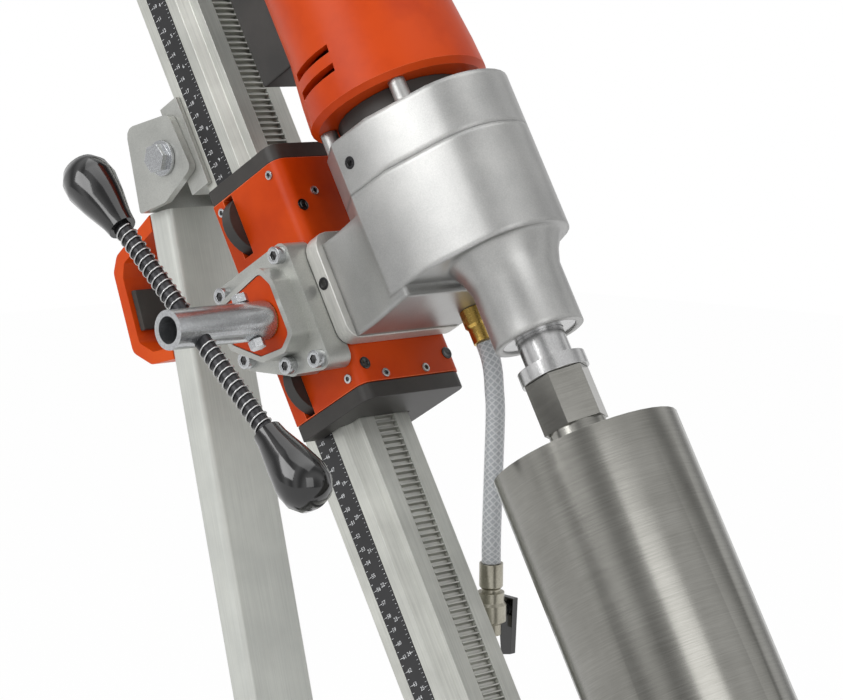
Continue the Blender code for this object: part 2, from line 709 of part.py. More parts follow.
def feed_housing():
    """The cast gear housing on the near wall, with a lobe at each screw and a boss for the crank."""
    wall = -CARRIAGE_HALF_WIDTH - GAP
    face = wall - HOUSING_DEPTH
    crank = (PINION_X, CRANK_HEIGHT)
    lobes = [(-6, 517), (30, 496), (58, 488), (58, 566), (-6, 566)]
    outline = []
    for lobe, start, end in zip(lobes, (170, 225, 260, -10, 80), (250, 285, 370, 100, 190)):
        outline += arc(lobe, 8, start, end, 5)
    bore = circle(crank, BUSH_RADIUS + GAP, 24)
    body = add("feed_housing", prism(outline, face, wall, "y", [bore]), COLUMN, "feed_slide", cast_silver())
    shoe_top = CARRIAGE_MID - SHOE_OFFSET + SHOE_RADIUS
    relief = box((SHOE_MID_X - SHOE_THICK, wall - 12, shoe_top - 40),
                 (SHOE_MID_X + SHOE_THICK, wall + 1, shoe_top))
    cut(body, relief, COLUMN, "feed_slide")
    for lobe in lobes:
        head = turned([(0, 0), (5.5, 0), (5.5, 6), (0, 6)], (lobe[0], face + 1, lobe[1]), (0, -1, 0), 12)
        unite(body, head, COLUMN, "feed_slide")
    top = face - HOUSING_BOSS
    raised = rounded([(-6, 526), (0, 558), (50, 562), (58, 548), (58, 508), (44, 500), (20, 504)], 6)
    unite(body, prism(raised, top, face + 1, "y", [bore]), COLUMN, "feed_slide")
    pocket = [(-2, 528), (3.5, 554.5), (48, 558), (54, 547), (54, 510), (43, 504), (21, 508)]
    cut(body, prism(rounded(pocket, 5), top - 5, top + PANEL_DEPTH, "y"), COLUMN, "feed_slide")
    middle = Vector((26, 531))
    smaller = [middle + (Vector(point) - middle) * 0.985 for point in pocket]
    hole = circle(crank, BUSH_RADIUS + 2 * GAP, 24)
    panel = prism(rounded(smaller, 5), top + 0.8, top + PANEL_DEPTH - GAP, "y", [hole])
    add("feed_panel", panel, COLUMN, "feed_slide", orange())
    bush = rod(BUSH_RADIUS, (PINION_X, -SHELL_INNER - 1, CRANK_HEIGHT),
               (PINION_X, face - HOUSING_BOSS + 1, CRANK_HEIGHT), 24, SHAFT_RADIUS + GAP)
    add("feed_bush", bush, COLUMN, "feed_slide", brass())


def mount_plate():
    low, high, wide = 492.0, 572.0, PLATE_HALF_WIDTH
    outline = [(-wide, low), (wide, low), (wide, high), (-wide, high)]
    plate = prism(rounded(outline, [10, 10, 14, 14], 4), CARRIAGE_FRONT + GAP, PLATE_FRONT, "x")
    add("mount_plate", plate, COLUMN, "feed_slide", cast_silver())


def carriage():
    frame("feed_slide", COLUMN, (0, 0, CARRIAGE_MID), "column_tilt")
    carriage_shell()
    end_caps()
    guides()
    feed_housing()
    mount_plate()


# Crank --------------------------------------------------------------------


def gear_outline(centre, module, teeth, phase):
    """A spur gear with straight-sided teeth that run free; one tooth is centred at the phase angle."""
    tip, root = module * (teeth / 2 + 0.95), module * (teeth / 2 - 1.3)
    points = []
    for tooth in range(teeth):
        middle = math.radians(phase + 360 * tooth / teeth)
        for radius, width in ((root, -1.02), (tip, -0.2), (tip, 0.2), (root, 1.02)):
            half = min(abs(width) * module / radius, 0.9 * math.pi / teeth)
            angle = middle + math.copysign(half, width)
            points.append((centre[0] + radius * math.cos(angle), centre[1] + radius * math.sin(angle)))
    return points


def along_rod(distance):
    tilt = math.radians(ROD_TILT)
    return Vector((PINION_X + distance * math.sin(tilt), ROD_Y, CRANK_HEIGHT - distance * math.cos(tilt)))


def crank():
    frame("crank_turn", COLUMN, (PINION_X, -SHELL_INNER, CRANK_HEIGHT), "feed_slide")
    centre = (PINION_X, CRANK_HEIGHT)
    tube_start = -CARRIAGE_HALF_WIDTH - HOUSING_DEPTH - HOUSING_BOSS - 2 * GAP
    pin_y = tube_start - 14
    shaft = add("feed_pinion", prism(gear_outline(centre, RACK_MODULE, PINION_TEETH, 180 + 180 / PINION_TEETH),
                                     -9, 9, "y"), COLUMN, "crank_turn", steel())
    bar = rod(SHAFT_RADIUS, (PINION_X, 44, CRANK_HEIGHT), (PINION_X, pin_y - 12, CRANK_HEIGHT), 20)
    unite(shaft, bar, COLUMN, "crank_turn")
    tube = add("crank_tube", rod(CRANK_TUBE_RADIUS, (PINION_X, tube_start, CRANK_HEIGHT),
                                 (PINION_X, CRANK_TUBE_END, CRANK_HEIGHT), 28, SHAFT_RADIUS + GAP),
               COLUMN, "crank_turn", steel(), True)
    rod_hole = rod(ROD_RADIUS + GAP, along_rod(-30), along_rod(30), 20)
    cut(tube, rod_hole, COLUMN, "crank_turn")
    reach = CRANK_TUBE_RADIUS + 3
    pin_low = (PINION_X, pin_y, CRANK_HEIGHT - reach)
    pin_high = (PINION_X, pin_y, CRANK_HEIGHT + reach)
    for target in (tube, shaft):
        cut(target, rod(3 + GAP, pin_low, pin_high, 14), COLUMN, "crank_turn")
    shank = rod(3, (PINION_X, pin_y, CRANK_HEIGHT - reach - 2), pin_high, 14)
    bolt = add("crank_cross_bolt", shank, COLUMN, "crank_turn", steel())
    for low in (CRANK_HEIGHT - CRANK_TUBE_RADIUS - GAP - 6, CRANK_HEIGHT + CRANK_TUBE_RADIUS + GAP):
        unite(bolt, prism(hexagon((PINION_X, pin_y), 10), low, low + 6, "z"), COLUMN, "crank_turn")
    half = KNOB_CENTRES / 2
    add("crank_rod", rod(ROD_RADIUS, along_rod(10 - half), along_rod(half - 10), 20), COLUMN, "crank_turn",
        steel(), True)
    for end, word in ((-1, "upper"), (1, "lower")):
        away = along_rod(end) - along_rod(0)
        seat = along_rod(end * (CRANK_TUBE_RADIUS + 1.2))
        coil = rod(ROD_RADIUS + 1.4, seat, along_rod(end * (half - 46)), 20, ROD_RADIUS + GAP)
        add(f"crank_spring_{word}", coil, COLUMN, "crank_turn", steel(), True)
        bore = ROD_RADIUS + GAP
        profile = [(bore, -44), (10, -44), (11, -36), (15.5, -18), (KNOB_RADIUS, -2), (17.5, 8), (13, 15.5),
                   (7, 18.7), (0, 19.3), (0, -8), (bore, -8)]
        add(f"crank_knob_{word}", knob_solid(profile, along_rod(end * half), away), COLUMN, "crank_turn",
            black_gloss(), True)


def knob_solid(profile, origin, direction):
    """A turned knob with a blind bore; its profile touches the axis twice."""
    outside = profile[:-2]
    depth = profile[-2][1]
    solid = turned([(0, outside[0][1])] + outside[1:], origin, direction, 24)
    helper = turned([(0, outside[0][1] - 5), (profile[0][0], outside[0][1] - 5), (profile[0][0], depth),
                     (0, depth)], origin, direction, 24)
    return subtracted(solid, helper)


# Drill --------------------------------------------------------------------

BLOCK_LOW = 493.0
BLOCK_TOP = 562.0
BODY_REAR = 102.0
BODY_REAR_HALF_WIDTH = 40.0
BODY_LOW = 500.0
SEAM = 574.0
LID_TOP = 613.0
GEAR_MODULE = 1.75
ARMATURE_TEETH, COUNTER_TEETH, PINION_END_TEETH, SPINDLE_TEETH = 8, 24, 12, 28
BODY_HALF_WIDTH = 58.0


def counter_axis():
    """Where the counter shaft stands, in mesh with both the armature and the spindle."""
    first = GEAR_MODULE * (ARMATURE_TEETH + COUNTER_TEETH) / 2
    second = GEAR_MODULE * (PINION_END_TEETH + SPINDLE_TEETH) / 2
    apart = SPINDLE_X - MOTOR_X
    along = (first ** 2 - second ** 2 + apart ** 2) / (2 * apart)
    return MOTOR_X + along, math.sqrt(first ** 2 - along ** 2)


def gearbox_outline(inset):
    """The gearbox seen from above: narrow at the rear, round about the spindle at the front."""
    rear = BODY_REAR + inset
    side = BODY_HALF_WIDTH - inset
    narrow = BODY_REAR_HALF_WIDTH - inset
    nose = arc((SPINDLE_X, 0), 46 - inset, -60, 60, 12)
    near = [(rear, -narrow), (128, -side), (165, -side)]
    far = [(165, side), (128, side), (rear, narrow)]
    return near + nose + far


def gearbox():
    wall = 7.0
    lower = add("gearbox_housing", prism(gearbox_outline(0), BODY_LOW, SEAM, "z"), COLUMN, "feed_slide",
                cast_silver())
    rear = PLATE_FRONT + GAP
    foot = [(rear, -50), (rear + 16, -50), (142, -57.5), (142, 57.5), (rear + 16, 50), (rear, 50)]
    unite(lower, prism(foot, BLOCK_LOW, BLOCK_TOP, "z"), COLUMN, "feed_slide")
    nose = turned([(0, 0), (NOSE_RADIUS, 0), (NOSE_RADIUS, 42), (NOSE_RADIUS + 3, 52), (NOSE_RADIUS + 13, 70),
                   (0, 70)], (SPINDLE_X, 0, NOSE_BOTTOM), steps=36)
    unite(lower, nose, COLUMN, "feed_slide")
    cut(lower, prism(gearbox_outline(wall), BODY_LOW + wall, SEAM + 5, "z"), COLUMN, "feed_slide")
    bore = rod(26, (SPINDLE_X, 0, NOSE_BOTTOM - 5), (SPINDLE_X, 0, BODY_LOW + 20), 32)
    cut(lower, bore, COLUMN, "feed_slide")

    upper = add("gearbox_cover", prism(gearbox_outline(0), SEAM + GAP, LID_TOP, "z"), COLUMN, "feed_slide",
                cast_silver())
    cut(upper, prism(gearbox_outline(wall), SEAM - 5, LID_TOP - wall, "z"), COLUMN, "feed_slide")
    cut(upper, rod(11, (MOTOR_X, 0, SEAM), (MOTOR_X, 0, LID_TOP + 5), 20), COLUMN, "feed_slide")
    low = MOTOR_BOTTOM - GAP
    flange = turned([(13, LID_TOP + GAP), (46, LID_TOP + GAP), (46, low), (13, low)], (MOTOR_X, 0, 0), steps=32)
    add("motor_flange", flange, COLUMN, "feed_slide", dark_plastic())
    for angle in (45, 135, 225, 315):
        turn = math.radians(angle)
        at = (MOTOR_X + 53 * math.cos(turn), 53 * math.sin(turn))
        unite(upper, rod(6, (*at, LID_TOP - 2), (*at, low), 14), COLUMN, "feed_slide")


def bearings():
    """The two bearings in the nose; the lower one's seal closes the nose's mouth."""
    spans = (("lower", NOSE_BOTTOM + 1, NOSE_BOTTOM + 16), ("upper", BODY_LOW - 14, BODY_LOW - 2))
    for word, low, high in spans:
        ring = rod(26 - GAP, (SPINDLE_X, 0, low), (SPINDLE_X, 0, high), 32, SPINDLE_RADIUS + GAP)
        add(f"spindle_bearing_{word}", ring, COLUMN, "feed_slide", steel())


def gear_train():
    """Armature pinion, counter shaft and spindle gear, meshed inside the gearbox."""
    motor, counter, spindle = (MOTOR_X, 0), counter_axis(), (SPINDLE_X, 0)
    to_counter = math.degrees(math.atan2(counter[1] - motor[1], counter[0] - motor[0]))
    to_spindle = math.degrees(math.atan2(spindle[1] - counter[1], spindle[0] - counter[0]))
    frame("counter_turn", COLUMN, (*counter, SEAM), "feed_slide")
    driven = gear_outline(counter, GEAR_MODULE, COUNTER_TEETH, to_counter + 180 + 180 / COUNTER_TEETH)
    shaft = add("counter_gear", prism(driven, 578, 592, "z"), COLUMN, "counter_turn", steel())
    driving = gear_outline(counter, GEAR_MODULE, PINION_END_TEETH, to_spindle)
    unite(shaft, prism(driving, 545, 579, "z"), COLUMN, "counter_turn")
    unite(shaft, rod(6, (*counter, 510), (*counter, 604), 16), COLUMN, "counter_turn")
    frame("armature_turn", COLUMN, (*motor, MOTOR_BOTTOM), "feed_slide")
    armature = turned([(0, 590), (5, 590), (5, 635), (10, 635), (10, 690), (30, 690), (30, 790), (18, 790),
                       (18, 815), (6, 815), (6, 835), (0, 835)], (*motor, 0), steps=24)
    rotor = add("armature", armature, COLUMN, "armature_turn", steel())
    cut_teeth = gear_outline(motor, GEAR_MODULE, ARMATURE_TEETH, to_counter)
    unite(rotor, prism(cut_teeth, 577, 591, "z"), COLUMN, "armature_turn")
    frame("spindle_turn", COLUMN, (*spindle, NOSE_BOTTOM), "feed_slide")
    profile = [(5, 376), (12, 376), (12, 408), (23.5, 408), (23.5, 418), (SPINDLE_RADIUS, 418),
               (SPINDLE_RADIUS, 570), (5, 570)]
    wheel = gear_outline(spindle, GEAR_MODULE, SPINDLE_TEETH, to_spindle + 180 + 180 / SPINDLE_TEETH)
    gear = prism(wheel, 547, 563, "z", [circle(spindle, SPINDLE_RADIUS - 2, 32)])
    shape = united(turned(profile, (*spindle, 0), steps=32), gear)
    add("spindle", shape, COLUMN, "spindle_turn", steel(), True)
    core_bit()


def core_bit():
    low = BIT_TOP - BIT_LENGTH
    segment_height = 7.0
    inner = BIT_RADIUS - BIT_WALL
    barrel_low = low + segment_height
    profile = [(inner, barrel_low), (BIT_RADIUS, barrel_low), (BIT_RADIUS, BIT_TOP), (20.5, BIT_TOP),
               (19.5, BIT_TOP + 16), (12 + GAP, BIT_TOP + 16), (12 + GAP, BIT_TOP - 5), (inner, BIT_TOP - 5)]
    bit = add("core_bit", turned(profile, (SPINDLE_X, 0, 0), steps=40), COLUMN, "spindle_turn", steel(), True)
    hexagonal = prism(hexagon((SPINDLE_X, 0), 40), BIT_TOP + 15, 408 - GAP, "z",
                      [circle((SPINDLE_X, 0), 12 + GAP, 40)])
    unite(bit, hexagonal, COLUMN, "spindle_turn")
    count = 9
    for index in range(count):
        start = 360 * index / count
        end = start + 360 / count - 12
        outline = arc((SPINDLE_X, 0), BIT_RADIUS + CROWN_EXTRA, start, end, 4)
        outline += arc((SPINDLE_X, 0), inner - CROWN_EXTRA, end, start, 4)
        unite(bit, prism(outline, low, barrel_low + 1, "z"), COLUMN, "spindle_turn")


def motor():
    wall = 6.0
    inner = MOTOR_RADIUS - wall
    skirt = MOTOR_RADIUS + 4
    outside = [(14, MOTOR_BOTTOM), (skirt - 4, MOTOR_BOTTOM), (skirt, MOTOR_BOTTOM + 4),
               (skirt - 1, MOTOR_BOTTOM + 24), (MOTOR_RADIUS, MOTOR_BOTTOM + 56), (MOTOR_RADIUS, MOTOR_TOP)]
    inside = [(inner, MOTOR_TOP), (inner, MOTOR_BOTTOM + wall), (14, MOTOR_BOTTOM + wall)]
    shell = turned(outside + inside, (MOTOR_X, 0, 0), steps=40)
    body = add("motor_housing", shell, COLUMN, "feed_slide", orange(), True)
    for index in range(2):
        low = MOTOR_BOTTOM + 22 + 14 * index
        vent = box((MOTOR_X - 30, -skirt - 5, low), (MOTOR_X + 12, -MOTOR_RADIUS + 12, low + 6))
        cut(body, vent, COLUMN, "feed_slide")
    stator = turned([(33, 700), (inner + 1, 700), (inner + 1, 785), (33, 785)], (MOTOR_X, 0, 0), steps=40)
    unite(body, stator, COLUMN, "feed_slide")
    low = MOTOR_TOP + GAP
    top = [(0, low + 30), (40, low + 30), (54, low + 22), (MOTOR_RADIUS, low + 8),
           (MOTOR_RADIUS, low), (0, low)]
    add("motor_top_cap", turned(list(reversed(top)), (MOTOR_X, 0, 0), steps=40), COLUMN, "feed_slide",
        dark_plastic(), True)


def electronics_box():
    half, rear, low, high = 34.0, 66.5, 690.0, 848.0
    meet = MOTOR_RADIUS + GAP
    turn = math.degrees(math.asin(half / meet))
    outline = rounded([(rear, half), (rear, -half)], 0)
    outline += arc((MOTOR_X, 0), meet, 180 + turn, 180 - turn, 10)
    body = add("electronics_box", prism(outline, low, high, "z"), COLUMN, "feed_slide", dark_plastic())
    mid_x, mid_z = 80.0, 790.0
    cut(body, box((mid_x - 8, half - 6, mid_z - 13), (mid_x + 8, half + 5, mid_z + 13)), COLUMN, "feed_slide")
    frame("switch_rock", COLUMN, (mid_x, half - 1, mid_z), "feed_slide")
    rocker = [(half - 4, mid_z - 8), (half - 1, mid_z - 11.5), (half + 1.2, mid_z - 11.5), (half - 0.4, mid_z),
              (half + 3.2, mid_z + 11), (half - 1, mid_z + 11.5), (half - 4, mid_z + 8)]
    add("power_switch", prism(rocker, mid_x - 7, mid_x + 7, "x"), COLUMN, "switch_rock", orange())
    gland = turned([(0, 0), (9, 0), (9, 7), (7, 9), (5.5, 26), (0, 26)], (rear + 10, 0, high + GAP), steps=20)
    add("cable_gland", gland, COLUMN, "feed_slide", rubber(), True)


# Water hose ---------------------------------------------------------------

PORT = Vector((106.0, 37.0, BLOCK_LOW))
HOSE_ROUTE = [(106, 37, 467), (105.1, 37.1, 456.6), (101.8, 37.5, 446), (96, 38.2, 435), (88, 39.5, 421.5),
              (63, 42.5, 387), (37, 45, 350), (26.5, 46, 334)]


def smooth_route(points, spacing):
    """Points along a Catmull-Rom curve through the route, about one spacing apart."""
    route = [Vector(point) for point in points]
    route = [route[0] * 2 - route[1]] + route + [route[-1] * 2 - route[-2]]
    result = []
    for index in range(1, len(route) - 2):
        before, first, last, after = route[index - 1:index + 3]
        steps = max(1, round((last - first).length / spacing))
        for step in range(steps):
            t = step / steps
            squared = (2 * before - 5 * first + 4 * last - after) * t * t
            cubed = (3 * first - before - 3 * last + after) * t ** 3
            result.append(0.5 * (2 * first + (last - before) * t + squared + cubed))
    return result + [route[-2]]


def hose():
    fitting = [(0, 0.4), (9.5, 0.4), (9.5, 12), (8, 14), (8, 25), (0, 25)]
    add("hose_port", turned(fitting, PORT, (0, 0, -1), 20), COLUMN, "feed_slide", brass(), True)
    before, end = Vector(HOSE_ROUTE[-2]), Vector(HOSE_ROUTE[-1])
    curve = bpy.data.curves.new("hose", "CURVE")
    curve.dimensions = "3D"
    curve.bevel_depth = HOSE_RADIUS * METRE
    curve.bevel_resolution = 3
    curve.use_fill_caps = True
    spline = curve.splines.new("POLY")
    route = smooth_route(HOSE_ROUTE, 14)
    spline.points.add(len(route) - 1)
    holder, place = frames["feed_slide"]
    space = COLUMN.copy()
    space.translation *= METRE
    local = place.inverted() @ space
    for point, at in zip(spline.points, route):
        point.co = (*(local @ (at * METRE)), 1)
    obj = bpy.data.objects.new("hose", curve)
    bpy.context.scene.collection.objects.link(obj)
    obj.parent = holder
    curve.materials.append(clear_hose())
    down = (end - before).normalized()
    barrel = 11.0
    valve = [(0, GAP), (8.4, GAP), (8.4, 17), (6.8, 18.5), (6.8, 21), (9.5, 21), (9.5, 28), (barrel, 30),
             (barrel, 42), (7.5, 44), (7.5, 52), (0, 52)]
    add("valve_body", turned(valve, end, down, 20), COLUMN, "feed_slide", brass(), True)
    side = Vector((0, 1, 0))
    centre = end + down * 36
    stem = centre + side * (barrel + GAP)
    frame("valve_turn", COLUMN, stem, "feed_slide")
    lever = add("valve_lever", rod(5, stem, stem + side * 7, 16), COLUMN, "valve_turn", black_gloss())
    across = down.cross(side)
    bar = prism([(-7, -9), (8, -9), (6, 32), (-3, 34)], 3, 8, "z")
    turn = Matrix((across, down, side)).transposed().to_4x4()
    turn.translation = stem
    bmesh.ops.transform(bar, matrix=turn, verts=bar.verts[:])
    bmesh.ops.recalc_face_normals(bar, faces=bar.faces[:])
    unite(lever, bar, COLUMN, "valve_turn")


def main():
    clear_scene()
    base()
    column()
    clamp()
    brace()
    carriage()
    crank()
    gearbox()
    bearings()
    gear_train()
    motor()
    electronics_box()
    hose()


main()
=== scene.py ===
import math

import bpy
from mathutils import Matrix, Vector


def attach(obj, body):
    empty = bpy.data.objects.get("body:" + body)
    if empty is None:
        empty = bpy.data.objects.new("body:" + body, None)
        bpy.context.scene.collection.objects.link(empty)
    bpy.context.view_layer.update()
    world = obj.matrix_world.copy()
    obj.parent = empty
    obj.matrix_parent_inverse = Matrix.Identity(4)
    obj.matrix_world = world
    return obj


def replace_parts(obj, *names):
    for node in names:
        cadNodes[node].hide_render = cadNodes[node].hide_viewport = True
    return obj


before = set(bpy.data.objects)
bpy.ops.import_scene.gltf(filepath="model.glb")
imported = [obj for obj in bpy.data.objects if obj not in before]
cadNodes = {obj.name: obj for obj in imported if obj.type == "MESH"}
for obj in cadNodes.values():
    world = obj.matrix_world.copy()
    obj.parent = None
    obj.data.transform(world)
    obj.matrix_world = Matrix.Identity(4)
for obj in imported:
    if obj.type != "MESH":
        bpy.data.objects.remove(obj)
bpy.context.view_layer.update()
print("stage 1: frame loaded with", len(cadNodes), "nodes")

mm = 0.001
inch = 25.4  # in millimetres
columnLean = math.radians(30)
braceLean = math.radians(14.118)
# the column's own frame at its foot pivot: x to the front, z up along the column
columnFrame = Matrix.Translation(Vector((134.678, 0, 70)) * mm) @ Matrix.Rotation(-columnLean, 4, "Y")


cameraSetup = {
    "anchor": Vector((-136.2, -30, 542.2)) * mm,  # a point on the near edge of the column
    "right": 95.2 * mm,
    "down": 24.5 * mm,
    "distance": 1.95,
    "lens": 118.5,
    "azimuth": math.radians(44.3),
    "elevation": math.radians(6.7),
    "sensor": 36,
    "clip": (0.05, 60),
}


def placeCamera(setup):
    azimuth, elevation = setup["azimuth"], setup["elevation"]
    level = math.cos(elevation)
    back = Vector((math.sin(azimuth) * level, -math.cos(azimuth) * level, math.sin(elevation)))
    right = Vector((math.cos(azimuth), math.sin(azimuth), 0))
    up = back.cross(right)
    centre = setup["anchor"] + right * setup["right"] - up * setup["down"]
    bpy.ops.object.camera_add(location=centre + back * setup["distance"])
    camera = bpy.context.object
    camera.name = "studioCamera"
    camera.rotation_mode = "QUATERNION"
    camera.rotation_quaternion = (-back).to_track_quat("-Z", "Y")
    camera.data.lens = setup["lens"]
    camera.data.sensor_width = setup["sensor"]
    camera.data.clip_start, camera.data.clip_end = setup["clip"]
    bpy.context.scene.camera = camera


placeCamera(cameraSetup)


def deselectAll():
    bpy.ops.object.select_all(action="DESELECT")


def pick(obj):
    deselectAll()
    obj.select_set(True)
    bpy.context.view_layer.objects.active = obj


def applyAll(obj):
    pick(obj)
    for modifier in list(obj.modifiers):
        bpy.ops.object.modifier_apply(modifier=modifier.name)


def joinAs(name, pieces):
    deselectAll()
    for piece in pieces:
        piece.select_set(True)
    bpy.context.view_layer.objects.active = pieces[0]
    bpy.ops.object.join()
    pieces[0].name = name
    return pieces[0]


def finishPiece(obj, name, material, body, angle=35):
    obj.name = name
    obj.data.name = name
    if not obj.data.materials:
        obj.data.materials.append(material)
    obj.data.materials[0] = material
    pick(obj)
    bpy.ops.object.shade_smooth_by_angle(angle=math.radians(angle))
    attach(obj, body)
    return obj


def newMaterial(name):
    material = bpy.data.materials.new(name)
    material.use_nodes = True
    return material, material.node_tree, material.node_tree.nodes["Principled BSDF"]


def addNode(tree, kind, **settings):
    node = tree.nodes.new(kind)
    for key, value in settings.items():
        setattr(node, key, value)
    return node


def objectCoords(tree, lean=0.0, stretch=(1, 1, 1)):
    coords = addNode(tree, "ShaderNodeTexCoord")
    mapping = addNode(tree, "ShaderNodeMapping", vector_type="TEXTURE")
    mapping.inputs["Rotation"].default_value = (0, -lean, 0)
    mapping.inputs["Scale"].default_value = stretch
    tree.links.new(coords.outputs["Object"], mapping.inputs["Vector"])
    return mapping.outputs["Vector"]


def noise(tree, vector, scale, detail=3, roughness=0.55):
    node = addNode(tree, "ShaderNodeTexNoise")
    node.inputs["Scale"].default_value = scale
    node.inputs["Detail"].default_value = detail
    node.inputs["Roughness"].default_value = roughness
    tree.links.new(vector, node.inputs["Vector"])
    return node.outputs["Fac"]


def ramp(tree, value, stops):
    node = addNode(tree, "ShaderNodeValToRGB")
    elements = node.color_ramp.elements
    while len(elements) < len(stops):
        elements.new(0.5)
    for element, (position, colour) in zip(elements, stops):
        element.position = position
        element.color = (*colour, 1)
    tree.links.new(value, node.inputs["Fac"])
    return node.outputs["Color"]


def spread(tree, value, low, high):
    node = addNode(tree, "ShaderNodeMapRange")
    node.inputs["To Min"].default_value = low
    node.inputs["To Max"].default_value = high
    tree.links.new(value, node.inputs["Value"])
    return node.outputs["Result"]


def bump(tree, shader, height, strength, distance):
    node = addNode(tree, "ShaderNodeBump")
    node.inputs["Strength"].default_value = strength
    node.inputs["Distance"].default_value = distance
    tree.links.new(height, node.inputs["Height"])
    tree.links.new(node.outputs["Normal"], shader.inputs["Normal"])
    return node


def linear(red, green, blue):  # from sRGB values of 0 to 255
    def single(channel):
        share = channel / 255
        return share / 12.92 if share <= 0.04045 else ((share + 0.055) / 1.055) ** 2.4
    return single(red), single(green), single(blue)


metalSetup = {"clouds": 28, "lineShare": 0.45, "darkAt": 0.35, "lightAt": 0.65, "cornerSamples": 6}
skinSetup = {"clouds": 22, "darkAt": 0.36, "lightAt": 0.62, "coatRoughness": 0.12, "strength": 0.35}


def grainedMetal(name, colours, metallic, roughness, grain=(1, 1, 1), lean=0.0, fine=900, depth=0.00005,
                 strength=0.25, corner=0.0):
    material, tree, shader = newMaterial(name)
    shader.inputs["Metallic"].default_value = metallic
    lines = noise(tree, objectCoords(tree, lean, grain), fine, 2, 0.6)
    clouds = noise(tree, objectCoords(tree), metalSetup["clouds"], 4)
    mixed = addNode(tree, "ShaderNodeMath", operation="MULTIPLY_ADD")
    tree.links.new(lines, mixed.inputs[0])
    mixed.inputs[1].default_value = metalSetup["lineShare"]
    rest = addNode(tree, "ShaderNodeMath", operation="MULTIPLY")
    tree.links.new(clouds, rest.inputs[0])
    rest.inputs[1].default_value = 1 - metalSetup["lineShare"]
    tree.links.new(rest.outputs[0], mixed.inputs[2])
    stops = [(metalSetup["darkAt"], colours[0]), (metalSetup["lightAt"], colours[1])]
    colour = ramp(tree, mixed.outputs[0], stops)
    tree.links.new(colour, shader.inputs["Base Color"])
    tree.links.new(spread(tree, mixed.outputs[0], *roughness), shader.inputs["Roughness"])
    raised = bump(tree, shader, lines, strength, depth)
    if corner:
        blend = addNode(tree, "ShaderNodeBevel", samples=metalSetup["cornerSamples"])
        blend.inputs["Radius"].default_value = corner
        tree.links.new(blend.outputs["Normal"], raised.inputs["Normal"])
    return material


def mouldedSkin(name, colours, roughness, grain, depth, coat=0.0, shine=0.5):
    material, tree, shader = newMaterial(name)
    shader.inputs["Coat Weight"].default_value = coat
    shader.inputs["Specular IOR Level"].default_value = shine
    shader.inputs["Coat Roughness"].default_value = skinSetup["coatRoughness"]
    fine = noise(tree, objectCoords(tree), grain, 3)
    clouds = noise(tree, objectCoords(tree), skinSetup["clouds"], 4)
    stops = [(skinSetup["darkAt"], colours[0]), (skinSetup["lightAt"], colours[1])]
    colour = ramp(tree, clouds, stops)
    tree.links.new(colour, shader.inputs["Base Color"])
    tree.links.new(spread(tree, clouds, *roughness), shader.inputs["Roughness"])
    bump(tree, shader, fine, skinSetup["strength"], depth)
    return material


